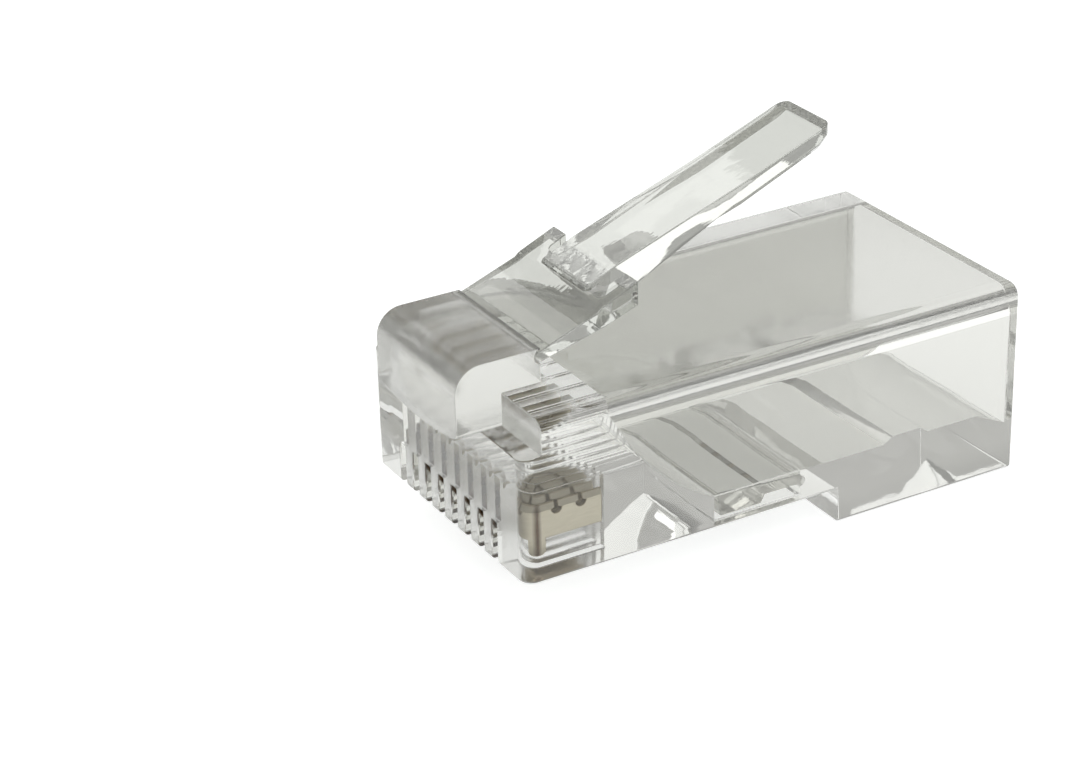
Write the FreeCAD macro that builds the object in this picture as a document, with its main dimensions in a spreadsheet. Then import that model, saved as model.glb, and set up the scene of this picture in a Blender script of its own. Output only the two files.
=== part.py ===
"""Uncrimped 8-position modular plug, as a parametric FreeCAD document.

Millimetres. +X is the width, +Y runs from the nose to the cable end, +Z points
to the latch. Every sketch is drawn with y = 0 on the nose face, x = 0 on the
middle plane and z = 0 on the underside of the rear block; each body's Placement
then puts the origin under the middle of the whole plug.
"""
import FreeCAD, Part
import os
import re
import Sketcher

SIZES = (
    # outer moulding
    ("body_width", 11.68, "overall width"),
    ("body_length", 21.95, "nose face to cable end"),
    ("body_height", 7.86, "rear block underside to latch side"),
    ("nose_length", 13.68, "nose face to the step of the rear block"),
    ("step_depth", 1.40, "nose underside above the rear block underside"),
    ("face_height", 5.00, "height of the nose face up to its ledges"),
    ("ledge_setback", 0.78, "depth of the ledges beside the latch root"),
    ("ledge_rise", 0.12, "slope of the ledges over their depth"),
    ("nose_round", 0.55, "radius of the upright nose edges"),
    ("crest_round", 0.50, "radius of the long edges on the latch side"),
    ("base_round", 0.15, "radius of the long edges below"),
    # cable cavity
    ("cavity_width", 9.80, "inside width of the cable cavity"),
    ("cavity_floor", 2.45, "floor of the cavity above the rear block underside"),
    ("roof_wall", 1.00, "wall over the cavity"),
    ("ramp_top", 4.05, "nose face to the top of the cavity's front ramp"),
    ("ramp_bow", 0.55, "bow of the front ramp towards the comb"),
    ("entry_drop", 0.65, "how far the lead-in falls to the cable end"),
    ("lead_in_length", 1.45, "length of the sloping lead-in"),
    ("rib_setback", 2.30, "jacket grip rib in front of the lead-in"),
    ("rib_length", 2.10, "length of the jacket grip rib"),
    ("rib_height", 0.25, "height of the jacket grip rib"),
    ("rib_slope", 0.40, "run of each flank of the grip rib"),
    ("cavity_round", 0.45, "radius of the long inside corners"),
    # wire comb
    ("contact_count", 8, "positions"),
    ("contact_pitch", 1.02, "pitch of contacts and wire channels"),
    ("channel_radius", 0.46, "radius of a wire channel"),
    ("channel_level", 4.85, "axis of the channels above the rear block underside"),
    ("channel_front", 1.00, "wall in front of the channels"),
    ("comb_end", 5.90, "nose face to the end of the channel bores"),
    # contacts
    ("contact_thickness", 0.34, "stock of a contact blade"),
    ("contact_front", 0.68, "nose face to the blade's front edge"),
    ("contact_length", 3.22, "length of a blade"),
    ("crown_recess", 0.44, "crown inside the nose underside"),
    ("crown_length", 0.85, "length of the crown"),
    ("crown_depth", 0.66, "crown below the crimping shoulder"),
    ("blade_height", 1.78, "crown to the root of the tines"),
    ("tine_height", 0.26, "root of the tines to their points"),
    ("tine_point", 0.10, "thickness left at the points"),
    ("tine_gap", 0.12, "gap between two tines"),
    ("notch_width", 0.42, "width of the half-round relief under each gap"),
    ("notch_pitch", 1.02, "first gap to second gap"),
    ("first_notch", 1.32, "blade front to the first gap"),
    ("crown_round", 0.40, "radius of the crown's front corner"),
    ("heel_round", 0.20, "radius of the crown's rear corner"),
    ("slot_clearance", 0.03, "blade to each slot wall"),
    ("slot_end_gap", 0.06, "blade to each slot end"),
    ("face_slot_height", 1.70, "height of the slots in the nose face"),
    # strain relief
    ("window_front", 8.43, "nose face to the strain relief window"),
    ("window_length", 3.85, "window, front wall to hinge axis"),
    ("window_width", 9.50, "width of the window"),
    ("bar_side_gap", 0.10, "bar to each side of the window"),
    ("bar_front_gap", 0.25, "bar to the front wall of the window"),
    ("bar_inset", 0.05, "bar inside the floor and the nose underside"),
    ("bar_hinge_level", 1.98, "bar hinge axis above the rear block underside"),
    ("bar_knuckle_radius", 0.20, "radius of the bar's hinge knuckle"),
    ("anchor_length", 1.80, "length of the bar's thick end"),
    ("anchor_slope", 0.20, "run of the sloping end faces"),
    # latch
    ("latch_width", 6.10, "width of latch root, plate and shoulders"),
    ("root_overhang", 1.10, "latch root in front of the nose face"),
    ("root_crest", 1.34, "latch root above the latch side"),
    ("root_skirt", 1.42, "latch root's side corners below the latch side"),
    ("root_belly", 0.32, "bow of the root's lower edge"),
    ("root_round", 1.05, "radius over the front of the root"),
    ("root_corner", 0.35, "radius of the root's lower and side corners"),
    ("hinge_run", 2.45, "nose face to the latch hinge axis"),
    ("hinge_level", 1.00, "latch hinge axis above the latch side"),
    ("knuckle_radius", 0.225, "half the moulding's thickness at the hinge"),
    ("hinge_clearance", 0.04, "knuckle to its cradle"),
    ("plate_run", 2.40, "hinge axis to the riser"),
    ("plate_rise", 1.10, "hinge axis to the plate's top at the riser"),
    ("riser_height", 0.16, "step up to the shoulder platform"),
    ("riser_run", 0.18, "slope of the riser"),
    ("belly_run", 2.75, "hinge axis to the bend of the underside"),
    ("belly_rise", 0.48, "hinge axis to the bend of the underside"),
    ("shoulder_run", 4.15, "hinge axis to the locking shoulders"),
    ("shoulder_rise", 1.94, "hinge axis to the top of the shoulders"),
    ("shoulder_height", 0.95, "height of the locking shoulders"),
    ("relief_width", 0.50, "width of the slots beside the tang"),
    ("relief_length", 0.85, "length of the slots beside the tang"),
    ("tang_width", 3.20, "width of the tang"),
    ("tang_foot_run", 2.80, "hinge axis to the foot of the tang"),
    ("tang_step", 0.12, "tang foot above the platform"),
    ("tang_bend_run", 9.75, "hinge axis to the bend of the tang"),
    ("tang_bend_rise", 4.05, "hinge axis to the tang's top at the bend"),
    ("tang_run", 13.65, "hinge axis to the tip"),
    ("tang_rise", 5.54, "hinge axis to the top of the tip"),
    ("tang_thickness", 1.08, "upright thickness of the tang"),
    ("throat_run", 5.05, "hinge axis to the throat under the tang's foot"),
    ("throat_rise", 1.13, "hinge axis to the underside of the throat"),
    ("neck_run", 7.05, "hinge axis to the neck, where the underside straightens"),
    ("neck_rise", 2.12, "hinge axis to the underside of the neck"),
    ("tang_bevel", 0.38, "bevel along the tang's lower edges"),
    ("tip_chamfer", 0.38, "chamfer under the tip"),
    ("tip_round", 0.45, "radius of the tip's corners in plan"),
)

ALIASES = {name for name, value, note in SIZES}
SHEET = "sizes"
REAR_Y = "body_length"
TOP_Z = "body_height"
NOSE_Z = "step_depth"
LEDGE_Z = "(step_depth + face_height)"
ROOF_Z = "(body_height - roof_wall)"
HINGE_Z = "(body_height + hinge_level)"
ORIGIN_SHIFT = "(body_length - root_overhang) / 2"


def bound(formula):
    """Return a formula of alias names as an expression on the sheet."""
    return re.sub(r"[a-z][a-z_]*", lambda word: prefixed(word.group()), formula)


def prefixed(word):
    """Put the sheet's name before an alias and leave other words alone."""
    return f"{SHEET}.{word}" if word in ALIASES else word


def make_sheet(doc):
    """Write every driving size into the spreadsheet, one row each."""
    sheet = doc.addObject("Spreadsheet::Sheet", SHEET)
    for row, (name, value, note) in enumerate(SIZES, start=1):
        sheet.set(f"A{row}", note)
        sheet.set(f"B{row}", str(value))
        sheet.setAlias(f"B{row}", name)
    doc.recompute()
    return sheet


class Piece:
    """One PartDesign body, with helpers that bind its features to the sheet."""

    def __init__(self, doc, sheet, label, shift_x="0"):
        self.doc = doc
        self.sheet = sheet
        self.body = doc.addObject("PartDesign::Body", label)
        self.body.Label = label
        self.body.setExpression("Placement.Base.x", bound(shift_x))
        self.body.setExpression("Placement.Base.y", bound(f"0 - {ORIGIN_SHIFT}"))
        doc.recompute()

    def number(self, formula):
        """Work a formula out now, for the first position of a sketch point."""
        return float(self.body.evalExpression(bound(f"({formula}) * 1.0")))

    def plane(self, role):
        """Find one of the body's own origin planes or axes by its role."""
        return next(item for item in self.body.Origin.OriginFeatures if item.Role == role)

    def sketch(self, name, role):
        """Start a sketch on an origin plane."""
        sketch = self.body.newObject("Sketcher::SketchObject", f"{self.body.Name}_{name}")
        sketch.AttachmentSupport = [(self.plane(role), "")]
        sketch.MapMode = "FlatFace"
        return sketch

    def pin(self, sketch, geometry, end, across, along):
        """Fix a sketch point at two formulas measured from the sketch origin."""
        for kind, formula in (("DistanceX", across), ("DistanceY", along)):
            index = sketch.addConstraint(
                Sketcher.Constraint(kind, -1, 1, geometry, end, self.number(formula)))
            sketch.setExpression(f"Constraints[{index}]", bound(formula))

    def outline(self, name, role, corners, bows=None):
        """Draw a closed outline through corners given as pairs of formulas.

        bows maps the index of a side to the sagitta of the arc that replaces
        its straight line; a positive sagitta bows to the right of the side.
        """
        bows = bows or {}
        sketch = self.sketch(name, role)
        points = [FreeCAD.Vector(self.number(u), self.number(v), 0) for u, v in corners]
        count = len(points)
        flipped = {}
        for side in range(count):
            first, last = points[side], points[(side + 1) % count]
            if side in bows:
                chord = last - first
                right = FreeCAD.Vector(chord.y, -chord.x, 0).normalize()
                middle = (first + last) * 0.5 + right * self.number(bows[side])
                arc = Part.Arc(first, middle, last)
                sketch.addGeometry(arc, False)
                start = sketch.Geometry[side].StartPoint
                flipped[side] = (start - first).Length > (start - last).Length
            else:
                sketch.addGeometry(Part.LineSegment(first, last), False)
                flipped[side] = False
        for side in range(count):
            after = (side + 1) % count
            sketch.addConstraint(Sketcher.Constraint(
                "Coincident", side, 1 if flipped[side] else 2, after, 2 if flipped[after] else 1))
        for side, (u, v) in enumerate(corners):
            self.pin(sketch, side, 2 if flipped[side] else 1, u, v)
        for side, sagitta in bows.items():
            chord_start, chord_end = corners[side], corners[(side + 1) % count]
            across = f"(({chord_start[0]}) - ({chord_end[0]})) / 2"
            along = f"(({chord_start[1]}) - ({chord_end[1]})) / 2"
            radius = f"(({across}) ^ 2 + ({along}) ^ 2 + ({sagitta}) ^ 2) / (2 * ({sagitta}))"
            index = sketch.addConstraint(
                Sketcher.Constraint("Radius", side, self.number(radius)))
            sketch.setExpression(f"Constraints[{index}]", bound(radius))
        self.doc.recompute()
        return sketch

    def circle(self, name, role, across, along, radius):
        """Draw one circle with its centre and radius bound to the sheet."""
        sketch = self.sketch(name, role)
        centre = FreeCAD.Vector(self.number(across), self.number(along), 0)
        sketch.addGeometry(
            Part.Circle(centre, FreeCAD.Vector(0, 0, 1), self.number(radius)), False)
        self.pin(sketch, 0, 3, across, along)
        index = sketch.addConstraint(Sketcher.Constraint("Radius", 0, self.number(radius)))
        sketch.setExpression(f"Constraints[{index}]", bound(radius))
        self.doc.recompute()
        return sketch

    def extrude(self, kind, sketch, length, offset=None):
        """Pad or pocket a sketch, half each way, or along its normal from an offset."""
        before = self.body.Shape.Volume if self.body.Tip else 0.0
        feature = self.body.newObject(f"PartDesign::{kind}", sketch.Name + "_" + kind.lower())
        feature.Profile = sketch
        feature.setExpression("Length", bound(length))
        if offset is None:
            feature.Midplane = True
        else:
            sketch.setExpression("AttachmentOffset.Base.z", bound(offset))
            feature.Reversed = kind == "Pocket"
        self.finish(feature, before, grows=kind == "Pad")
        return feature

    def pattern(self, feature, count, pitch):
        """Repeat a feature along +X."""
        before = self.body.Shape.Volume
        pattern = self.body.newObject("PartDesign::LinearPattern", feature.Name + "_row")
        pattern.Originals = [feature]
        pattern.Direction = (self.plane("X_Axis"), [""])
        pattern.setExpression("Length", bound(f"({pitch}) * ({count} - 1)"))
        pattern.setExpression("Occurrences", bound(count))
        self.body.Tip = pattern
        self.finish(pattern, before, grows=False)

    def dress(self, kind, name, size, chosen):
        """Fillet or chamfer the edges that a test on the edge picks out."""
        base = self.body.Tip
        names = [f"Edge{i}" for i, edge in enumerate(base.Shape.Edges, start=1) if chosen(edge)]
        if not names:
            raise RuntimeError(f"{self.body.Label}: no edge for {name}")
        feature = self.body.newObject(f"PartDesign::{kind}", f"{self.body.Name}_{name}")
        feature.Base = (base, names)
        feature.setExpression("Radius" if kind == "Fillet" else "Size", bound(size))
        self.finish(feature, None, grows=False)

    def finish(self, feature, before, grows):
        """Recompute a feature and stop if it failed or changed nothing."""
        self.doc.recompute()
        if not feature.Shape or feature.Shape.isNull() or not feature.isValid():
            raise RuntimeError(f"{feature.Name} failed: {feature.getStatusString()}")
        if before is None:
            return
        change = feature.Shape.Volume - before
        if (grows and change <= 0) or (not grows and change >= 0):
            raise RuntimeError(f"{feature.Name} changed the volume by {change:.4f}")


def runs_along(edge, axis):
    """Tell whether an edge is straight and parallel to one axis."""
    if len(edge.Vertexes) != 2 or edge.Curve.TypeId != "Part::GeomLine":
        return False
    span = edge.Vertexes[1].Point - edge.Vertexes[0].Point
    return abs(abs(span.normalize()[axis]) - 1) < 1e-6


def edge_at(edge, x=None, y=None, z=None, axis=0, near=1e-4):
    """Tell whether a straight edge along an axis lies at the given places."""
    if not runs_along(edge, axis):
        return False
    middle = (edge.Vertexes[0].Point + edge.Vertexes[1].Point) * 0.5
    wanted = ((abs(middle.x), x), (middle.y, y), (middle.z, z))
    return all(place is None or abs(value - place) < near for value, place in wanted)


def make_housing(doc, sheet):
    """Model the clear moulding without the two pieces that bend."""
    piece = Piece(doc, sheet, "housing")
    half_width = piece.number("body_width / 2")
    top, nose = piece.number(TOP_Z), piece.number(NOSE_Z)

    shell = piece.outline("side", "YZ_Plane", [
        ("0", NOSE_Z), ("nose_length", NOSE_Z), ("nose_length", "0"), (REAR_Y, "0"),
        (REAR_Y, TOP_Z), ("ledge_setback", TOP_Z), ("ledge_setback", f"{LEDGE_Z} + ledge_rise"),
        ("0", LEDGE_Z)])
    piece.extrude("Pad", shell, "body_width")
    piece.dress("Fillet", "crest", "crest_round",
                lambda edge: edge_at(edge, x=half_width, z=top, axis=1))
    piece.dress("Fillet", "nose_edges", "nose_round",
                lambda edge: edge_at(edge, x=half_width, y=0.0, axis=2))
    piece.dress("Fillet", "base_edges", "base_round",
                lambda edge: edge_at(edge, x=half_width, z=0.0, axis=1)
                or edge_at(edge, x=half_width, z=nose, axis=1)
                or edge_at(edge, y=0.0, z=nose, axis=0))

    make_latch_root(piece)
    make_cavity(piece)
    make_comb(piece)
    make_window(piece)
    return piece.body


def make_latch_root(piece):
    """Add the block on the nose that the latch grows from, with its hinge cradle."""
    half = "latch_width / 2"
    crest = "body_height + root_crest"
    skirt = "body_height - root_skirt"
    shield = piece.outline("root", "XZ_Plane", [
        (f"0 - {half}", crest), (f"0 - {half}", skirt), (half, skirt), (half, crest)],
        bows={1: "root_belly"})
    piece.extrude("Pad", shield, "root_overhang + hinge_run", offset="0 - hinge_run")
    front = piece.number("0 - root_overhang")
    side = piece.number(half)
    piece.dress("Fillet", "root_front", "root_round",
                lambda edge: edge_at(edge, y=front, z=piece.number(crest), axis=0))
    piece.dress("Fillet", "root_corners", "root_corner",
                lambda edge: edge_at(edge, x=side, y=None, z=piece.number(skirt), axis=1))
    cradle = piece.circle("cradle", "YZ_Plane", "hinge_run", HINGE_Z,
                          "knuckle_radius + hinge_clearance")
    piece.extrude("Pocket", cradle, "latch_width + 2 * hinge_clearance")


def make_cavity(piece):
    """Hollow the cable cavity, with its lead-in, grip rib and swept front ramp."""
    lead_in = "(body_length - lead_in_length)"
    rib_rear = f"({lead_in} - rib_setback)"
    rib_front = f"({rib_rear} - rib_length)"
    rib_top = "cavity_floor + rib_height"
    side = piece.outline("cavity", "YZ_Plane", [
        ("ramp_top", ROOF_Z), ("window_front", "cavity_floor"), (rib_front, "cavity_floor"),
        (f"{rib_front} + rib_slope", rib_top), (f"{rib_rear} - rib_slope", rib_top),
        (rib_rear, "cavity_floor"), (lead_in, "cavity_floor"),
        (REAR_Y, "cavity_floor - entry_drop"), (REAR_Y, ROOF_Z)],
        bows={0: "ramp_bow"})
    piece.extrude("Pocket", side, "cavity_width")
    half = piece.number("cavity_width / 2")
    piece.dress("Fillet", "cavity_corners", "cavity_round",
                lambda edge: edge_at(edge, x=half, z=piece.number(ROOF_Z), axis=1))


def make_comb(piece):
    """Cut the row of wire channels and the row of contact slots."""
    first = "0 - contact_pitch * (contact_count - 1) / 2"
    channel = piece.circle("channel", "XZ_Plane", first, "channel_level", "channel_radius")
    bore = piece.extrude("Pocket", channel, "comb_end - channel_front", offset="0 - comb_end")
    piece.pattern(bore, "contact_count", "contact_pitch")

    slot_front = "contact_front - slot_end_gap"
    slot_rear = "contact_front + contact_length + slot_end_gap"
    slot_sill = f"({NOSE_Z} + face_slot_height)"
    slot = piece.outline("slot", "YZ_Plane", [
        ("0", "0"), (slot_rear, "0"), (slot_rear, "channel_level"), (slot_front, "channel_level"),
        (slot_front, slot_sill), ("0", slot_sill)])
    slot.setExpression("AttachmentOffset.Base.z", bound(first))
    cut = piece.extrude("Pocket", slot, "contact_thickness + 2 * slot_clearance")
    piece.pattern(cut, "contact_count", "contact_pitch")


def make_window(piece):
    """Open the strain relief window and the cradle of the bar's hinge."""
    hinge = "(window_front + window_length)"
    window = piece.outline("window", "YZ_Plane", [
        ("window_front", "0"), (hinge, "0"), (hinge, "cavity_floor"),
        ("window_front", "cavity_floor")])
    piece.extrude("Pocket", window, "window_width")
    cradle = piece.circle("bar_cradle", "YZ_Plane", hinge, "bar_hinge_level",
                          "bar_knuckle_radius + hinge_clearance")
    piece.extrude("Pocket", cradle, "window_width")


def make_latch_lever(doc, sheet):
    """Model the latch from its hinge: plate, riser, shoulders and tang."""
    piece = Piece(doc, sheet, "latch_lever")

    def at(run, rise):
        return f"hinge_run + {run}", f"{HINGE_Z} + {rise}"

    shoulder_base = "shoulder_rise - shoulder_height"
    plate = piece.outline("plate", "YZ_Plane", [
        at("0", "0 - knuckle_radius"), at("belly_run", "belly_rise"),
        at("shoulder_run", shoulder_base), at("shoulder_run", "shoulder_rise"),
        at("plate_run + riser_run", "plate_rise + riser_height"), at("plate_run", "plate_rise"),
        at("0", "knuckle_radius")])
    piece.extrude("Pad", plate, "latch_width")
    knuckle = piece.circle("knuckle", "YZ_Plane", "hinge_run", HINGE_Z, "knuckle_radius")
    piece.extrude("Pad", knuckle, "latch_width")

    relief_x = "(tang_width / 2 + relief_width)"
    relief_y = "hinge_run + shoulder_run - relief_length"
    reliefs = piece.outline("reliefs", "XY_Plane", [
        (f"0 - {relief_x}", relief_y), (relief_x, relief_y),
        (relief_x, "hinge_run + shoulder_run"), (f"0 - {relief_x}", "hinge_run + shoulder_run")])
    piece.extrude("Pocket", reliefs, "4 * body_height")
    outer, inner = piece.number(relief_x), piece.number(relief_y)
    piece.dress("Fillet", "relief_ends", "relief_width / 2.2",
                lambda edge: edge_at(edge, x=outer, y=inner, axis=2))

    underside = [at("throat_run", "throat_rise"), at("neck_run", "neck_rise"),
                 at("tang_bend_run", "tang_bend_rise - tang_thickness"),
                 at("tang_run - tip_chamfer", "tang_rise - tang_thickness"),
                 at("tang_run", "tang_rise - tang_thickness + tip_chamfer")]
    root_run = "(shoulder_run - relief_length - knuckle_radius)"
    root_top = "(plate_rise + riser_height)"
    platform_run = "(plate_run + riser_run)"
    slope = f"((shoulder_rise - {root_top}) / (shoulder_run - {platform_run}))"
    foot_rise = f"{root_top} + {slope} * (tang_foot_run - {platform_run}) + tang_step"
    tang = piece.outline("tang", "YZ_Plane", [
        at(root_run, f"{root_top} - knuckle_radius"), at(root_run, shoulder_base),
        at("shoulder_run", shoulder_base), *underside,
        at("tang_run", "tang_rise"), at("tang_bend_run", "tang_bend_rise"),
        at("shoulder_run", "shoulder_rise + tang_step"), at("tang_foot_run", foot_rise),
        at("tang_foot_run - tang_step", root_top)])
    piece.extrude("Pad", tang, "tang_width")
    side = piece.number("tang_width / 2")
    below = [(piece.number(y), piece.number(z)) for y, z in underside[1:]]
    piece.dress("Chamfer", "bevel", "tang_bevel", lambda edge: joins(edge, side, below))
    tip = piece.number("hinge_run + tang_run")
    piece.dress("Fillet", "tip", "tip_round", lambda edge: edge_at(edge, x=side, y=tip, axis=2))
    return piece.body


def joins(edge, x, places, near=1e-4):
    """Tell whether an edge runs at plus or minus x between two of the (y, z) places."""
    ends = [vertex.Point for vertex in edge.Vertexes]
    return len(ends) == 2 and ends[0].x * ends[1].x > 0 and all(
        abs(abs(end.x) - x) < near
        and any(abs(end.y - y) < near and abs(end.z - z) < near for y, z in places)
        for end in ends)


def make_strain_relief_bar(doc, sheet):
    """Model the jacket anchor: a thick end on a thin arm with a hinge knuckle."""
    piece = Piece(doc, sheet, "strain_relief_bar")
    hinge = "(window_front + window_length)"
    tip = "(window_front + bar_front_gap)"
    anchor_end = f"({tip} + anchor_slope / 2 + anchor_length)"
    sole = f"{NOSE_Z} + bar_inset"
    bar = piece.outline("side", "YZ_Plane", [
        (hinge, "bar_hinge_level - bar_knuckle_radius"),
        (f"{anchor_end} + anchor_slope", "bar_hinge_level - bar_knuckle_radius"),
        (anchor_end, sole), (f"{tip} + anchor_slope / 2", sole),
        (tip, "cavity_floor - bar_inset"),
        (hinge, "bar_hinge_level + bar_knuckle_radius")])
    piece.extrude("Pad", bar, "window_width - 2 * bar_side_gap")
    knuckle = piece.circle("knuckle", "YZ_Plane", hinge, "bar_hinge_level", "bar_knuckle_radius")
    piece.extrude("Pad", knuckle, "window_width - 2 * bar_side_gap")
    return piece.body


def make_contact(doc, sheet, position):
    """Model one contact blade, in its slot, counted from the -X side."""
    place = f"contact_pitch * ({position} - (contact_count + 1) / 2)"
    piece = Piece(doc, sheet, f"contact_{position}", shift_x=place)
    crown = f"({NOSE_Z} + crown_recess)"
    shoulder = f"({crown} + crown_depth)"
    tine_root = f"({crown} + blade_height)"
    rear = "(contact_front + contact_length)"
    tips = f"({tine_root} + tine_height)"
    blade = piece.outline("blade", "YZ_Plane", [
        ("contact_front", crown), ("contact_front + crown_length", crown),
        ("contact_front + crown_length", shoulder), (rear, shoulder), (rear, tips),
        ("contact_front + first_notch - notch_pitch + tine_gap / 2", tips),
        ("contact_front + first_notch - notch_pitch + tine_gap / 2", tine_root),
        ("contact_front", tine_root)])
    piece.extrude("Pad", blade, "contact_thickness")
    for number in (0, 1):
        middle = f"contact_front + first_notch + notch_pitch * {number}"
        gap = piece.outline(f"gap_{number}", "YZ_Plane", [
            (f"{middle} - notch_width / 2", tine_root), (f"{middle} + notch_width / 2", tine_root),
            (f"{middle} + tine_gap / 2", tine_root), (f"{middle} + tine_gap / 2", tips),
            (f"{middle} - tine_gap / 2", tips), (f"{middle} - tine_gap / 2", tine_root)],
            bows={0: "notch_width / 2.001"})
        piece.extrude("Pocket", gap, "2 * contact_thickness")
    for side in ("", "0 - "):
        flank = piece.outline("bevel_left" if side else "bevel_right", "XZ_Plane", [
            (f"{side}contact_thickness / 2", tine_root), (f"{side}contact_thickness / 2", tips),
            (f"{side}tine_point / 2", tips)])
        piece.extrude("Pocket", flank, "contact_length", offset=f"0 - {rear}")
    front, low = piece.number("contact_front"), piece.number(crown)
    heel = piece.number("contact_front + crown_length")
    piece.dress("Fillet", "crown", "crown_round",
                lambda edge: edge_at(edge, y=front, z=low, axis=0))
    piece.dress("Fillet", "heel", "heel_round",
                lambda edge: edge_at(edge, y=heel, z=low, axis=0))
    return piece.body


def check(doc):
    """Stop on any object that failed to recompute."""
    for item in doc.Objects:
        if {"Invalid", "Error"} & set(item.State):
            raise RuntimeError(f"{item.Name} is {item.State}")


def export(bodies):
    """Write every body to its own STEP file, once all of them are sound."""
    for body in bodies:
        if body.Shape.isNull() or not body.Shape.isValid() or len(body.Shape.Solids) != 1:
            raise RuntimeError(f"{body.Label} is not one valid solid")
    os.makedirs("parts", exist_ok=True)
    for body in bodies:
        body.Shape.exportStep(os.path.join("parts", f"{body.Label}.step"))
        print(f"{body.Label}: {body.Shape.Volume:.4f} mm3, {len(body.Shape.Faces)} faces")


def main():
    """Build the document and export its bodies."""
    doc = FreeCAD.newDocument("modular_plug")
    sheet = make_sheet(doc)
    bodies = [
        make_housing(doc, sheet), make_latch_lever(doc, sheet), make_strain_relief_bar(doc, sheet)]
    count = int(sheet.contact_count)
    bodies += [make_contact(doc, sheet, position) for position in range(1, count + 1)]
    doc.recompute()
    check(doc)
    export(bodies)


main()
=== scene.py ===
"""Clear eight-position modular plug, dressed for a plain studio view.

Metres, +X across the plug, +Y from the nose to the cable end, +Z to the latch.
"""

import logging
import math
from dataclasses import dataclass, field
from enum import Enum
from typing import Iterable

import bmesh
import bpy
from mathutils import Matrix, Vector

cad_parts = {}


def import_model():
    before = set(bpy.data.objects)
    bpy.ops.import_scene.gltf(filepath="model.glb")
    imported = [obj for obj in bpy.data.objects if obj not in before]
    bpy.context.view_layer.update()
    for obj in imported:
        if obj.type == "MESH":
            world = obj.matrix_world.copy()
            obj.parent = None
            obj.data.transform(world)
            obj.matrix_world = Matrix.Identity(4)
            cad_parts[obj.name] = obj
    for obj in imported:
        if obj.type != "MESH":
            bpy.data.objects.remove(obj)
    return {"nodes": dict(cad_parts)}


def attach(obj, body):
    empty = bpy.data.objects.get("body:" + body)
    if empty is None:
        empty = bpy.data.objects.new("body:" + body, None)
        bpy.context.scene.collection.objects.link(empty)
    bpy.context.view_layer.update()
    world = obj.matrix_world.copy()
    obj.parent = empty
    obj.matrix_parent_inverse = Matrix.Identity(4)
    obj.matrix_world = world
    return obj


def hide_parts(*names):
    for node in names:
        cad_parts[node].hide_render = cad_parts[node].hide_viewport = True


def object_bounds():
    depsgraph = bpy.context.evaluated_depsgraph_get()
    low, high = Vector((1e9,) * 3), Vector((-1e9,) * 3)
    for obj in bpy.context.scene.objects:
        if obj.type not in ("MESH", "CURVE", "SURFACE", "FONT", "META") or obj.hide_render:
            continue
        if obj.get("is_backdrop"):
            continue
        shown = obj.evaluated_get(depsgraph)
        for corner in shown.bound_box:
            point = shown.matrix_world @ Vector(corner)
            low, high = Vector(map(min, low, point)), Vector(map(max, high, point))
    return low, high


MM = 0.001
# corners of a CAD solid closer than this are one corner
WELD_MM = 0.001
# CAD triangles that turn by less than this make one flat face
FLAT_DEGREES = 1.0
# a face is a side wall when its normal's share along X is more than this
SIDEWAYS = 0.9
# a Mix node's colour sockets, which share their names with its number sockets
MIX_A, MIX_B, MIX_RESULT = 6, 7, 2
# light crosses many clear walls in the comb, and turns back inside many more, before it leaves
WALLS_CROSSED = 32
LOG = logging.getLogger("modular_plug")


class Slot(Enum):
    """The record's material slots."""

    MOULDING = "clear_moulding"
    METAL = "contact_metal"


class Body(Enum):
    """The CAD bodies that carry the mouldings."""

    HOUSING = "housing"
    LATCH = "latch"
    RELIEF = "strain_relief"


def linear(code: str) -> tuple[float, float, float, float]:
    """Turn an sRGB hex colour into a linear RGBA one.

    Args:
        code: Six hex digits with a leading hash.

    Returns:
        Red, green and blue in linear light, and an alpha of 1.
    """
    parts = [int(code[i:i + 2], 16) / 255 for i in (1, 3, 5)]
    red, green, blue = [c / 12.92 if c <= 0.04045 else ((c + 0.055) / 1.055) ** 2.4 for c in parts]
    return red, green, blue, 1.0


def add_node(tree: bpy.types.NodeTree, kind: str, settings: dict | None = None,
             values: dict | None = None, links: dict | None = None) -> bpy.types.Node:
    """Add a node with its settings, socket values and incoming links.

    Args:
        tree: The node tree that the node goes into.
        kind: The node's type name.
        settings: Properties of the node itself.
        values: Default values, by input name or number.
        links: Output sockets to join to, by input name or number.

    Returns:
        The new node.
    """
    node = tree.nodes.new(kind)
    for name, value in (settings or {}).items():
        setattr(node, name, value)
    for name, value in (values or {}).items():
        node.inputs[name].default_value = value
    for name, socket in (links or {}).items():
        tree.links.new(socket, node.inputs[name])
    return node


def new_material(name: str) -> tuple[bpy.types.Material, bpy.types.NodeTree]:
    """Make an empty node material.

    Args:
        name: The material's name.

    Returns:
        The material and its node tree.
    """
    material = bpy.data.materials.new(name)
    material.use_nodes = True
    material.node_tree.nodes.clear()
    return material, material.node_tree


def per_metre(wavelength_mm: float) -> float:
    """Return the texture scale that repeats every so many millimetres."""
    return 1.0 / (wavelength_mm * MM)


def welded_copy(source: bpy.types.Object) -> bmesh.types.BMesh:
    """Copy a CAD solid's loose triangles as one closed mesh with whole flat faces.

    Args:
        source: The CAD node's object.

    Returns:
        The copy, for the caller to shape and free.
    """
    work = bmesh.new()
    work.from_mesh(source.data)
    bmesh.ops.remove_doubles(work, verts=work.verts, dist=WELD_MM * MM)
    bmesh.ops.dissolve_limit(work, angle_limit=math.radians(FLAT_DEGREES), verts=work.verts, edges=work.edges)
    return work


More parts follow.
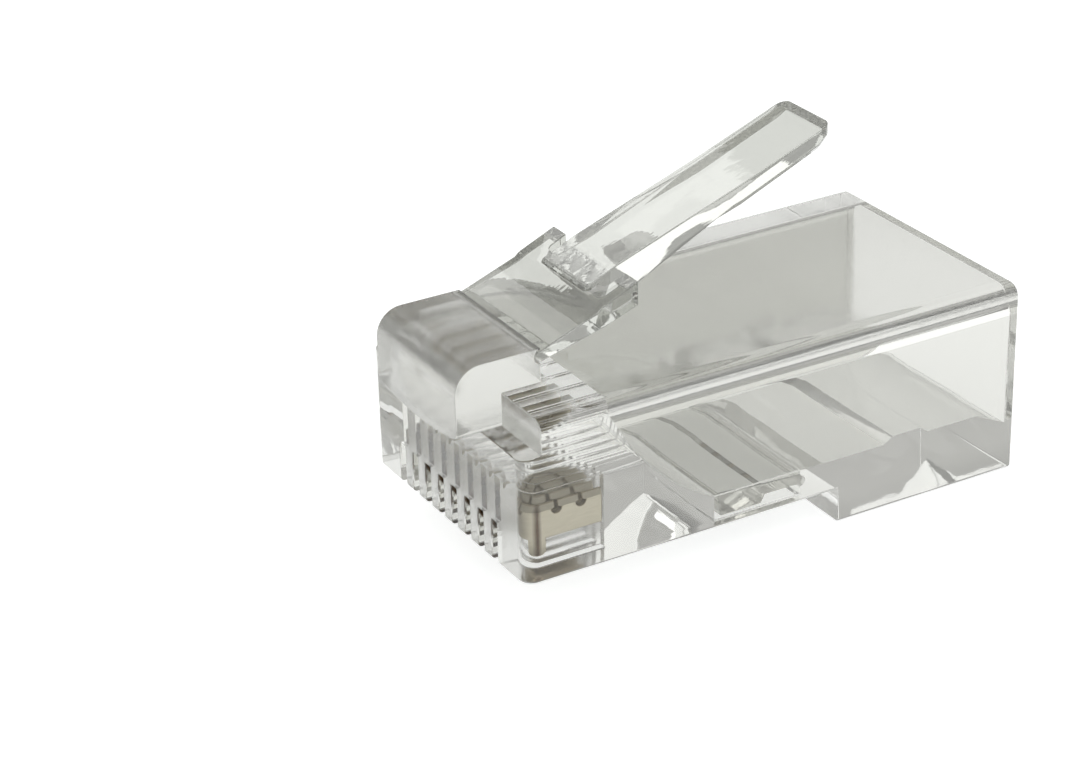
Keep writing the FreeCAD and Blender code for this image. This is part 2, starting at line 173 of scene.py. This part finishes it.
@dataclass(frozen=True)
class ClearPolycarbonate:
    """Injection-moulded polycarbonate: glassy, faintly grey, with a moulding's soft waviness."""

    name: str
    tint: str = "#DBDBD7"
    ior: float = 1.585
    roughness: float = 0.015
    clearness: float = 1.0
    wave_mm: float = 2.6
    wave_height_mm: float = 0.010
    wave_detail: float = 1.0
    wave_stretch: tuple[float, float, float] = (1.0, 1.0, 1.0)
    ripple_mm: float = 0.5
    ripple_height_mm: float = 0.0008
    ripple_detail: float = 2.0

    def material(self) -> bpy.types.Material:
        """Build the material.

        Returns:
            The finished material.
        """
        material, tree = new_material(self.name)
        place = add_node(tree, "ShaderNodeTexCoord").outputs["Object"]
        flow = add_node(tree, "ShaderNodeMapping", values={"Scale": self.wave_stretch},
                        links={"Vector": place}).outputs["Vector"]
        # the steel mould's polish and the melt's shrinkage leave long, low waves with a fine ripple on them
        wave = add_node(tree, "ShaderNodeTexNoise",
                        values={"Scale": per_metre(self.wave_mm), "Detail": self.wave_detail},
                        links={"Vector": flow})
        ripple = add_node(tree, "ShaderNodeTexNoise",
                          values={"Scale": per_metre(self.ripple_mm), "Detail": self.ripple_detail},
                          links={"Vector": flow})
        waves = add_node(tree, "ShaderNodeBump",
                         values={"Strength": 1.0, "Distance": self.wave_height_mm * MM},
                         links={"Height": wave.outputs["Fac"]})
        bump = add_node(tree, "ShaderNodeBump",
                        values={"Strength": 1.0, "Distance": self.ripple_height_mm * MM},
                        links={"Height": ripple.outputs["Fac"], "Normal": waves.outputs["Normal"]})
        shader = add_node(tree, "ShaderNodeBsdfPrincipled", values={
            "Base Color": linear(self.tint), "Roughness": self.roughness, "IOR": self.ior,
            "Transmission Weight": self.clearness}, links={"Normal": bump.outputs["Normal"]})
        add_node(tree, "ShaderNodeOutputMaterial", links={"Surface": shader.outputs["BSDF"]})
        return material


@dataclass(frozen=True)
class PlatedBronze:
    """Stamped phosphor bronze: nickel on the flanks, a warm flash on the crown, bare where it was cut."""

    name: str
    nickel: str = "#DCD6C6"
    nickel_dull: str = "#C2BBA8"
    bronze: str = "#6E543C"
    bronze_dull: str = "#3F2E20"
    plating_line_mm: float = -9.1
    line_blur_mm: float = 0.08
    line_wander_mm: float = 0.5
    line_detail: float = 2.0
    roughness: float = 0.3
    # coarser than the rolled strip's own grain, so that it shows
    grain_mm: float = 0.06
    grain_detail: float = 3.0
    grain_stretch: tuple[float, float, float] = (1.0, 0.12, 1.0)
    grain_height_mm: float = 0.002
    grain_strength: float = 0.3

    def material(self) -> bpy.types.Material:
        """Build the material.

        Returns:
            The finished material.
        """
        material, tree = new_material(self.name)
        place = add_node(tree, "ShaderNodeTexCoord").outputs["Object"]
        drawn = add_node(tree, "ShaderNodeMapping", values={"Scale": self.grain_stretch},
                         links={"Vector": place})
        grain = add_node(tree, "ShaderNodeTexNoise",
                         values={"Scale": per_metre(self.grain_mm), "Detail": self.grain_detail},
                         links={"Vector": drawn.outputs["Vector"]}).outputs["Fac"]
        # the crown's flash ends in a soft line that wanders a little
        patch = add_node(tree, "ShaderNodeTexNoise",
                         values={"Scale": per_metre(self.line_wander_mm), "Detail": self.line_detail},
                         links={"Vector": place})
        wander = add_node(tree, "ShaderNodeMath", {"operation": "MULTIPLY"},
                          {1: self.line_blur_mm * MM}, {0: patch.outputs["Fac"]})
        along = add_node(tree, "ShaderNodeSeparateXYZ", links={"Vector": place})
        depth = add_node(tree, "ShaderNodeMath", {"operation": "ADD"},
                         links={0: along.outputs["Y"], 1: wander.outputs["Value"]})
        plated = add_node(tree, "ShaderNodeMapRange", values={
            "From Min": (self.plating_line_mm - self.line_blur_mm) * MM,
            "From Max": (self.plating_line_mm + self.line_blur_mm) * MM},
            links={"Value": depth.outputs["Value"]})
        flank, crown = (add_node(tree, "ShaderNodeMix", {"data_type": "RGBA"},
                                 {MIX_A: linear(dull), MIX_B: linear(bright)}, {0: grain})
                        for dull, bright in ((self.nickel_dull, self.nickel),
                                             (self.bronze_dull, self.bronze)))
        colour = add_node(tree, "ShaderNodeMix", {"data_type": "RGBA"}, links={
            0: plated.outputs["Result"], MIX_A: crown.outputs[MIX_RESULT], MIX_B: flank.outputs[MIX_RESULT]})
        bump = add_node(tree, "ShaderNodeBump",
                        values={"Strength": self.grain_strength, "Distance": self.grain_height_mm * MM},
                        links={"Height": grain})
        shader = add_node(tree, "ShaderNodeBsdfPrincipled",
                          values={"Metallic": 1.0, "Roughness": self.roughness},
                          links={"Base Color": colour.outputs[MIX_RESULT], "Normal": bump.outputs["Normal"]})
        add_node(tree, "ShaderNodeOutputMaterial", links={"Surface": shader.outputs["BSDF"]})
        return material


@dataclass(frozen=True)
class LightTable:
    """Matt opal sheet lit from below: nearly white, with no gloss and hardly a shadow."""

    name: str = "opal_sheet_lit"
    colour: str = "#F4F5F5"
    roughness: float = 0.9
    gloss: float = 0.1
    glow: float = 0.8

    def material(self) -> bpy.types.Material:
        """Build the material.

        Returns:
            The finished material.
        """
        material, tree = new_material(self.name)
        shader = add_node(tree, "ShaderNodeBsdfPrincipled",
                          values={"Base Color": linear(self.colour), "Roughness": self.roughness,
                                  "Specular IOR Level": self.gloss, "Emission Color": linear(self.colour),
                                  "Emission Strength": self.glow})
        add_node(tree, "ShaderNodeOutputMaterial", links={"Surface": shader.outputs["BSDF"]})
        return material


class ClearFinish(Enum):
    """The one clear plastic, with what each group of mould walls leaves on it, and darker tints of painted
    shade on the roof and the side walls.
    """

    # mirror-polished steel: crisp reflections and an open view in, faintly grey where the walls are thick
    POLISHED = ClearPolycarbonate("clear_polycarbonate_polished")
    # the plain core's ends and the underside: a little soft and hardly tinted, so the far side stays bright
    CORED = ClearPolycarbonate("clear_polycarbonate_cored", tint="#FCFCFA", roughness=0.03)
    # the channels' fine matt pins: bent less than in solid plastic, so the blades read through all eight
    COMBED = ClearPolycarbonate("clear_polycarbonate_matt_cored", tint="#FFFFFF", ior=1.06, roughness=0.2)
    # the slots' matt ribs behind their open front: soft grey lines, bent less for the same reason
    SLOTTED = ClearPolycarbonate("clear_polycarbonate_slotted", tint="#FFFFFF", ior=1.2, roughness=0.25)
    # the thin latch, filled from its root: flow lines that draw its highlights out along the tang
    FLOW_LINED = ClearPolycarbonate("clear_polycarbonate_flow_lined", tint="#C6C7C2", wave_mm=1.4,
                                    wave_height_mm=0.006, wave_stretch=(1.0, 0.1, 1.0), ripple_mm=0.32,
                                    ripple_height_mm=0.0025)
    # the core's satin top softens what lies under it, and its darker grey tint is painted shade that makes
    # the roof an even grey
    SATIN_ROOF_PAINTED_SHADE = ClearPolycarbonate("clear_polycarbonate_satin_roof_painted_shade", tint="#CCCCC8", roughness=0.12)
    # the core's drawn sides: a wavy view through the side walls, and a greyer tint that is painted shade on
    # them
    WAVY_SIDE_PAINTED_SHADE = ClearPolycarbonate("clear_polycarbonate_wavy_side_painted_shade", tint="#CBCBC7", roughness=0.03,
                                    wave_height_mm=0.022)
    # the latch root's blasted cavity: a pale satin block without sharp reflections
    FROSTED = ClearPolycarbonate("clear_polycarbonate_satin", tint="#CECECA", roughness=0.24)


class MetalFinish(Enum):
    """The blades' plated strip and its cut edges, which carry painted shade."""

    # rolled and plated strip: a warm silvery flank, brown at the crown
    STRIP = PlatedBronze("nickel_plated_bronze_strip")
    # edges sheared after plating: bare bronze, duller and browner than the flanks, darkened as painted shade
    # of the air gap round each blade, so each blade has an outline
    SHEARED_EDGE_SHADE = PlatedBronze("phosphor_bronze_sheared_edge_shade", nickel="#CBBFA6", nickel_dull="#A5977D", roughness=0.42)


@dataclass(frozen=True)
class Region:
    """A box in millimetres, given by its low and high corners."""

    low: tuple[float, float, float]
    high: tuple[float, float, float]

    @classmethod
    def across(cls, half_width: float, along: tuple[float, float], up: tuple[float, float]) -> "Region":
        """Make a box that reaches as far to the left of the plug's middle as to its right.

        Args:
            half_width: Its reach to each side.
            along: Its ends towards the nose and towards the cable.
            up: Its bottom and its top.

        Returns:
            The box.
        """
        return cls((-half_width, along[0], up[0]), (half_width, along[1], up[1]))

    def holds(self, point: Vector) -> bool:
        """Tell whether a point in metres lies inside."""
        return all(low < c / MM < high for low, c, high in zip(self.low, point, self.high))


@dataclass(frozen=True)
class Parting:
    """A line across a group of side walls, where one finish ends and the next begins."""

    walls: Region
    line_mm: float


@dataclass(frozen=True)
class HousingZones:
    """The planes, in millimetres, that part the housing's walls into zones of one finish each, two of which
    add painted shade.

    Every zone reaches a little past the walls that it takes in.
    """

    body_half: float = 5.9
    root_half: float = 5.2
    cavity_half: float = 4.95
    wall_half: float = 4.9
    wall_reach: float = 0.06
    row_half: float = 4.6
    crisp_half: float = 4.5
    nose: float = -11.6
    belly_front: float = -10.5
    slot_mouth: float = -10.2
    crisp_front: float = -10.0
    slot_parting: float = -9.78
    root_back: float = -7.5
    cavity_front: float = -6.7
    roof_front: float = -6.6
    slot_back: float = -6.3
    channel_back: float = -3.6
    crisp_back: float = -3.0
    cavity_back: float = 11.4
    cable_end: float = 11.6
    underside: float = -0.1
    cavity_floor: float = 1.3
    belly_top: float = 1.45
    slot_floor: float = 1.5
    crisp_floor: float = 4.2
    slot_top: float = 4.3
    channel_top: float = 5.5
    crisp_top: float = 5.6
    root_floor: float = 5.9
    wall_top: float = 6.3
    roof_floor: float = 6.7
    cavity_top: float = 6.95
    root_top: float = 12.0

    def zones(self) -> list[tuple[Region, ClearFinish]]:
        """Return the zones with their finishes, the roof's and the side walls' with tints of painted shade. A
        face takes the first zone that holds its middle.
        """
        walls = [Region((x - self.wall_reach, self.cavity_front, self.cavity_floor),
                        (x + self.wall_reach, self.cavity_back, self.wall_top))
                 for x in (-self.wall_half, self.wall_half)]
        return [
            (Region.across(self.root_half, (self.nose, self.root_back), (self.root_floor, self.root_top)),
             ClearFinish.FROSTED),
            (Region.across(self.row_half, (self.slot_mouth, self.channel_back),
                           (self.slot_top, self.channel_top)), ClearFinish.COMBED),
            (Region.across(self.row_half, (self.slot_parting, self.slot_back),
                           (self.slot_floor, self.slot_top)), ClearFinish.SLOTTED),
            # the side walls and then the roof: darker tints that are painted shade
            *((wall, ClearFinish.WAVY_SIDE_PAINTED_SHADE) for wall in walls),
            (Region.across(self.cavity_half, (self.roof_front, self.cavity_back),
                           (self.roof_floor, self.cavity_top)), ClearFinish.SATIN_ROOF_PAINTED_SHADE),
            (Region.across(self.cavity_half, (self.cavity_front, self.cavity_back),
                           (self.cavity_floor, self.cavity_top)), ClearFinish.CORED),
            (Region.across(self.body_half, (self.belly_front, self.cable_end),
                           (self.underside, self.belly_top)), ClearFinish.CORED),
        ]

    def crisp(self) -> Region:
        """Return the zone whose walls are too thin for an edge radius."""
        return Region.across(self.crisp_half, (self.crisp_front, self.crisp_back),
                             (self.crisp_floor, self.crisp_top))

    def slot_walls(self) -> Parting:
        """Return the slots' side walls, whose open front keeps the polish."""
        return Parting(Region.across(self.row_half, (self.slot_mouth, self.slot_back),
                                     (self.slot_floor, self.slot_top)), self.slot_parting)


@dataclass
class Moulding:
    """One clear moulding: the CAD solid with the small radii that a mould leaves on its edges."""

    node: str
    body: Body
    finish: bpy.types.Material
    zoned_finishes_and_shades: list[tuple[Region, bpy.types.Material]] = field(default_factory=list)
    kept_crisp: Region | None = None
    parting: Parting | None = None
    edge_radius_mm: float = 0.05
    edge_segments: int = 2
    snap_mm: float = 0.0001
    crease_degrees: float = 30.0

    def part(self, work: bmesh.types.BMesh, parting: Parting) -> None:
        """Cut the side walls that a parting names along its line, with no gap.

        Args:
            work: The moulding's mesh.
            parting: The walls and their line.
        """
        sides = [face for face in work.faces
                 if parting.walls.holds(face.calc_center_median()) and abs(face.normal.x) > SIDEWAYS]
        parts = dict.fromkeys(part for face in sides for part in (face, *face.edges, *face.verts))
        bmesh.ops.bisect_plane(work, geom=list(parts), dist=self.snap_mm * MM,
                               plane_co=(0.0, parting.line_mm * MM, 0.0), plane_no=(0.0, 1.0, 0.0))

    def solid(self, source: bpy.types.Object) -> bpy.types.Mesh:
        """Make the moulding's mesh, with its creases, its zones of finish and painted shade and the edges to
        round.

        Args:
            source: The CAD node's object.

        Returns:
            The mesh, smooth apart from its creases.
        """
        work = welded_copy(source)
        if self.parting:
            self.part(work, self.parting)
        crease = math.radians(self.crease_degrees)
        rounding = work.edges.layers.float.new("bevel_weight_edge")
        for face in work.faces:
            face.smooth = True
            middle = face.calc_center_median()
            face.material_index = next(
                (i for i, (region, _) in enumerate(self.zoned_finishes_and_shades, start=1) if region.holds(middle)), 0)
        for edge in work.edges:
            edge.smooth = edge.calc_face_angle(0.0) < crease
            edge[rounding] = float(edge.calc_face_angle_signed(0.0) > crease and not self.is_crisp(edge))
        mesh = bpy.data.meshes.new(f"{self.node}_clear")
        work.to_mesh(mesh)
        work.free()
        return mesh

    def is_crisp(self, edge: bmesh.types.BMEdge) -> bool:
        """Tell whether an edge lies in the region where walls are too thin for a radius."""
        return self.kept_crisp is not None and any(self.kept_crisp.holds(v.co) for v in edge.verts)

    def build(self, source: bpy.types.Object) -> bpy.types.Object:
        """Make the dressed piece and put it on its body.

        Args:
            source: The CAD node's object.

        Returns:
            The piece.
        """
        mesh = self.solid(source)
        piece = bpy.data.objects.new(f"{self.node}_clear", mesh)
        bpy.context.scene.collection.objects.link(piece)
        # the zones' materials, the roof's and the side walls' tints among them painted shade
        for finish in (self.finish, *(core for _, core in self.zoned_finishes_and_shades)):
            mesh.materials.append(finish)
        bevel = piece.modifiers.new("mould_radius", "BEVEL")
        bevel.width = self.edge_radius_mm * MM
        bevel.segments = self.edge_segments
        bevel.limit_method = "WEIGHT"
        bevel.use_clamp_overlap = False
        bevel.harden_normals = True
        bevel.miter_outer = "MITER_ARC"
        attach(piece, self.body.value)
        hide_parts(self.node)
        return piece


@dataclass
class ContactRow:
    """The row of blades: one stamping, dressed once and set out by a node tree."""

    flanks: bpy.types.Material
    # the cut edges' material, darkened as painted shade of the gap round each blade
    sheared_and_shaded: bpy.types.Material
    count: int = 8
    pitch_mm: float = 1.02
    edge_radius_mm: float = 0.035
    worn_degrees: float = 60.0
    scatter_mm: float = 0.006
    seed: int = 11

    def stamping(self, source: bpy.types.Object) -> bpy.types.Object:
        """Copy the first blade to the middle of the row, with slightly worn edges.

        Args:
            source: The first blade's CAD object.

        Returns:
            An object that only the node tree uses.
        """
        work = welded_copy(source)
        to_middle = self.pitch_mm * MM * (self.count - 1) / 2
        bmesh.ops.translate(work, verts=work.verts, vec=(to_middle, 0.0, 0.0))
        worn = [edge for edge in work.edges
                if edge.calc_face_angle_signed(0.0) > math.radians(self.worn_degrees)]
        bmesh.ops.bevel(work, geom=worn, offset=self.edge_radius_mm * MM, segments=1, affect="EDGES",
                        clamp_overlap=True)
        mesh = bpy.data.meshes.new("blade_stamping")
        work.to_mesh(mesh)
        work.free()
        return bpy.data.objects.new("blade_stamping", mesh)

    def tree(self) -> bpy.types.GeometryNodeTree:
        """Make the node tree that sets one numbered blade of the row in its slot.

        Returns:
            The tree, with the row's sizes as named inputs.
        """
        tree = bpy.data.node_groups.new("blade_row", "GeometryNodeTree")
        for name, kind, way in (("Stamping", "NodeSocketObject", "INPUT"),
                                ("Count", "NodeSocketInt", "INPUT"),
                                ("Pitch", "NodeSocketFloat", "INPUT"),
                                ("Position", "NodeSocketInt", "INPUT"),
                                ("Scatter", "NodeSocketFloat", "INPUT"),
                                ("Seed", "NodeSocketInt", "INPUT"),
                                ("Flanks", "NodeSocketMaterial", "INPUT"),
                                ("Sheared and shaded", "NodeSocketMaterial", "INPUT"),
                                ("Geometry", "NodeSocketGeometry", "OUTPUT")):
            tree.interface.new_socket(name, in_out=way, socket_type=kind)
        given = tree.nodes.new("NodeGroupInput").outputs

        # the row's points stand a pitch apart, with the plug's middle halfway along them
        places = add_node(tree, "ShaderNodeMath", {"operation": "SUBTRACT"}, {1: 1.0}, {0: given["Count"]})
        start = add_node(tree, "ShaderNodeMath", {"operation": "MULTIPLY"}, {1: -0.5},
                         {0: places.outputs["Value"]})
        first = add_node(tree, "ShaderNodeMath", {"operation": "MULTIPLY"}, None,
                         {0: start.outputs["Value"], 1: given["Pitch"]})
        corner = add_node(tree, "ShaderNodeCombineXYZ", links={"X": first.outputs["Value"]})
        step = add_node(tree, "ShaderNodeCombineXYZ", links={"X": given["Pitch"]})
        row = add_node(tree, "GeometryNodeMeshLine", links={
            "Count": given["Count"], "Start Location": corner.outputs["Vector"],
            "Offset": step.outputs["Vector"]})

        # only the wanted point is left, moved a trace along its slot
        number = add_node(tree, "GeometryNodeInputIndex")
        other = add_node(tree, "FunctionNodeCompare", {"data_type": "INT", "operation": "NOT_EQUAL"},
                         links={"A": number.outputs["Index"], "B": given["Position"]})
        one = add_node(tree, "GeometryNodeDeleteGeometry", links={
            "Geometry": row.outputs["Mesh"], "Selection": other.outputs["Result"]})
        down = add_node(tree, "ShaderNodeMath", {"operation": "MULTIPLY"}, {1: -1.0},
                        {0: given["Scatter"]})
        least = add_node(tree, "ShaderNodeCombineXYZ", links={"Y": down.outputs["Value"]})
        most = add_node(tree, "ShaderNodeCombineXYZ", links={"Y": given["Scatter"]})
        stray = add_node(tree, "FunctionNodeRandomValue", {"data_type": "FLOAT_VECTOR"}, links={
            "Min": least.outputs["Vector"], "Max": most.outputs["Vector"], "ID": given["Position"],
            "Seed": given["Seed"]})
        seated = add_node(tree, "GeometryNodeSetPosition", links={
            "Geometry": one.outputs["Geometry"], "Offset": stray.outputs["Value"]})
        blade = add_node(tree, "GeometryNodeObjectInfo", links={"Object": given["Stamping"]})
        set_out = add_node(tree, "GeometryNodeInstanceOnPoints", links={
            "Points": seated.outputs["Geometry"], "Instance": blade.outputs["Geometry"]})
        real = add_node(tree, "GeometryNodeRealizeInstances", links={
            "Geometry": set_out.outputs["Instances"]})

        # the flanks are plated strip, and all that the die cut is bare, darkened as painted shade of the gap
        # round each blade
        facing = add_node(tree, "ShaderNodeSeparateXYZ", links={
            "Vector": add_node(tree, "GeometryNodeInputNormal").outputs["Normal"]})
        sideways = add_node(tree, "ShaderNodeMath", {"operation": "ABSOLUTE"},
                            links={0: facing.outputs["X"]})
        cut = add_node(tree, "FunctionNodeCompare", {"data_type": "FLOAT", "operation": "LESS_THAN"},
                       {"B": SIDEWAYS}, {"A": sideways.outputs["Value"]})
        plated = add_node(tree, "GeometryNodeSetMaterial", links={
            "Geometry": real.outputs["Geometry"], "Material": given["Flanks"]})
        bare_and_shaded = add_node(tree, "GeometryNodeSetMaterial", links={
            "Geometry": plated.outputs["Geometry"], "Selection": cut.outputs["Result"],
            "Material": given["Sheared and shaded"]})
        add_node(tree, "NodeGroupOutput", links={"Geometry": bare_and_shaded.outputs["Geometry"]})
        return tree

    def build(self, source: bpy.types.Object) -> list[bpy.types.Object]:
        """Make every blade of the row and put each on its own body.

        Args:
            source: The first blade's CAD object.

        Returns:
            The blades in order.
        """
        tree = self.tree()
        sockets = {item.name: item.identifier for item in tree.interface.items_tree}
        stamping = self.stamping(source)
        blades = []
        for position in range(self.count):
            maker = bpy.data.objects.new("blade_maker", bpy.data.meshes.new("blade_maker"))
            bpy.context.scene.collection.objects.link(maker)
            row = maker.modifiers.new("blade_row", "NODES")
            row.node_group = tree
            for name, value in (("Stamping", stamping), ("Count", self.count),
                                ("Pitch", self.pitch_mm * MM), ("Position", position),
                                ("Scatter", self.scatter_mm * MM), ("Seed", self.seed),
                                ("Flanks", self.flanks), ("Sheared and shaded", self.sheared_and_shaded)):
                row[sockets[name]] = value
            made = maker.evaluated_get(bpy.context.evaluated_depsgraph_get())
            mesh = bpy.data.meshes.new_from_object(made)
            bpy.data.objects.remove(maker)
            blade = bpy.data.objects.new(f"contact_{position + 1}_plated", mesh)
            bpy.context.scene.collection.objects.link(blade)
            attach(blade, f"blade_{position + 1}")
            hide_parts(f"contact_{position + 1}")
            blades.append(blade)
        bpy.data.objects.remove(stamping)
        return blades


@dataclass(frozen=True)
class Softbox:
    """One square soft lamp: where it hangs, its side in metres and its power in watts."""

    name: str
    place: tuple[float, float, float]
    size: float
    power: float

    def hang(self, aim: Vector) -> bpy.types.Object:
        """Hang the lamp.

        Args:
            aim: The point it faces.

        Returns:
            The lamp.
        """
        light = bpy.data.lights.new(self.name, "AREA")
        light.size = self.size
        light.energy = self.power
        lamp = bpy.data.objects.new(self.name, light)
        place = Vector(self.place)
        turn = (place - aim).to_track_quat("Z", "Y").to_matrix().to_4x4()
        lamp.matrix_world = Matrix.Translation(place) @ turn
        bpy.context.scene.collection.objects.link(lamp)
        return lamp


@dataclass
class Studio:
    """Pale floor, two soft lamps and a room with a little shade in it, so that clear edges read."""

    floor_reach: float = 6.0
    air_gap_mm: float = 0.03
    room_light: float = 0.8
    # the room's shade from level with the floor, 0, to straight overhead, 1
    shades: tuple[tuple[float, str], ...] = (
        (0.0, "#A0A09E"), (0.25, "#B4B4B2"), (0.42, "#E4E4E2"), (0.6, "#DCDCDA"), (1.0, "#D2D2D0"))
    softboxes: tuple[Softbox, ...] = (Softbox("key_softbox", (0.10, 0.05, 0.25), 0.18, 0.05),
                                      Softbox("side_softbox", (-0.30, 0.02, 0.25), 0.075, 0.023))

    def floor(self, finish: bpy.types.Material) -> bpy.types.Object:
        """Lay the floor under the plug.

        Args:
            finish: The floor's material.

        Returns:
            The floor.
        """
        reach = self.floor_reach
        low = -self.air_gap_mm * MM
        mesh = bpy.data.meshes.new("studio_floor")
        mesh.from_pydata([(-reach, -reach, low), (reach, -reach, low), (reach, reach, low),
                          (-reach, reach, low)], [], [(0, 1, 2, 3)])
        mesh.materials.append(finish)
        floor = bpy.data.objects.new("studio_floor", mesh)
        bpy.context.scene.collection.objects.link(floor)
        floor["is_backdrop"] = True
        return floor

    def room(self) -> None:
        """Fill the room with even light that fades a little overhead."""
        world = bpy.data.worlds.new("studio_room")
        world.use_nodes = True
        tree = world.node_tree
        tree.nodes.clear()
        way = add_node(tree, "ShaderNodeTexCoord").outputs["Generated"]
        parts = add_node(tree, "ShaderNodeSeparateXYZ", links={"Vector": way})
        ramp = add_node(tree, "ShaderNodeValToRGB", links={"Fac": parts.outputs["Z"]})
        stops = ramp.color_ramp.elements
        for stop, (place, shade) in zip(stops, self.shades[:2]):
            stop.position, stop.color = place, linear(shade)
        for place, shade in self.shades[2:]:
            stops.new(place).color = linear(shade)
        back = add_node(tree, "ShaderNodeBackground", values={"Strength": self.room_light},
                        links={"Color": ramp.outputs["Color"]})
        add_node(tree, "ShaderNodeOutputWorld", links={"Surface": back.outputs["Background"]})
        bpy.context.scene.world = world

    def build(self, aim: Vector) -> None:
        """Lay the floor, fill the room and hang the lamps.

        Args:
            aim: The point that the lamps face.
        """
        self.floor(LightTable().material())
        self.room()
        for softbox in self.softboxes:
            softbox.hang(aim)


@dataclass(frozen=True)
class Viewpoint:
    """The camera: the point it looks at and its distance in metres, and its side in degrees."""

    target: tuple[float, float, float] = (-0.01052, -0.000425, -0.000134)
    azimuth: float = 60.68
    elevation: float = 26.433
    roll: float = -1.637
    distance: float = 0.122704
    lens_mm: float = 97.3
    sensor_mm: float = 36.0
    nearest: float = 0.001

    def place(self) -> bpy.types.Object:
        """Set up the camera.

        Returns:
            The camera, which is the scene's own.
        """
        turn, lift, lean = (math.radians(a) for a in (self.azimuth, self.elevation, self.roll))
        back = Vector((math.sin(turn) * math.cos(lift), -math.cos(turn) * math.cos(lift), math.sin(lift)))
        right = Vector((0, 0, 1)).cross(back).normalized()
        up = back.cross(right)
        leant_right = right * math.cos(lean) + up * math.sin(lean)
        leant_up = up * math.cos(lean) - right * math.sin(lean)
        lens = bpy.data.cameras.new("studio_camera")
        lens.lens = self.lens_mm
        lens.sensor_width = self.sensor_mm
        lens.clip_start = self.nearest
        camera = bpy.data.objects.new("studio_camera", lens)
        axes = Matrix((leant_right, leant_up, back)).transposed().to_4x4()
        camera.matrix_world = Matrix.Translation(Vector(self.target) + back * self.distance) @ axes
        bpy.context.scene.collection.objects.link(camera)
        bpy.context.scene.camera = camera
        return camera


def plain_box(corners: Iterable[Iterable[float]]) -> list[list[float]]:
    """Return a box's corners as plain lists of numbers."""
    return [[float(c) for c in corner] for corner in corners]


def main() -> None:
    """Build the plug's pieces in order, then the studio."""
    logging.basicConfig(level=logging.INFO, format="%(name)s: %(message)s")
    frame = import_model()
    cad_box = plain_box(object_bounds())
    Viewpoint().place()

    clear = {finish: finish.value.material() for finish in ClearFinish}
    metal = {finish: finish.value.material() for finish in MetalFinish}
    housing = HousingZones()
    zoned_finishes_and_shades = [(region, clear[finish]) for region, finish in housing.zones()]
    mouldings = (Moulding("housing", Body.HOUSING, clear[ClearFinish.POLISHED], zoned_finishes_and_shades,
                          kept_crisp=housing.crisp(), parting=housing.slot_walls()),
                 Moulding("latch_lever", Body.LATCH, clear[ClearFinish.FLOW_LINED]),
                 Moulding("strain_relief_bar", Body.RELIEF, clear[ClearFinish.POLISHED]))
    pieces = [moulding.build(frame["nodes"][moulding.node]) for moulding in mouldings]
    row = ContactRow(metal[MetalFinish.STRIP], metal[MetalFinish.SHEARED_EDGE_SHADE])
    pieces += row.build(frame["nodes"]["contact_1"])
    for piece in pieces:
        LOG.info("%s: %d faces", piece.name, len(piece.data.polygons))

    Studio().build((Vector(cad_box[0]) + Vector(cad_box[1])) / 2)
    bpy.context.scene.view_settings.view_transform = "Standard"
    for kind in ("max_bounces", "transmission_bounces", "glossy_bounces"):
        setattr(bpy.context.scene.cycles, kind, WALLS_CROSSED)


if __name__ == "__main__":
    main()
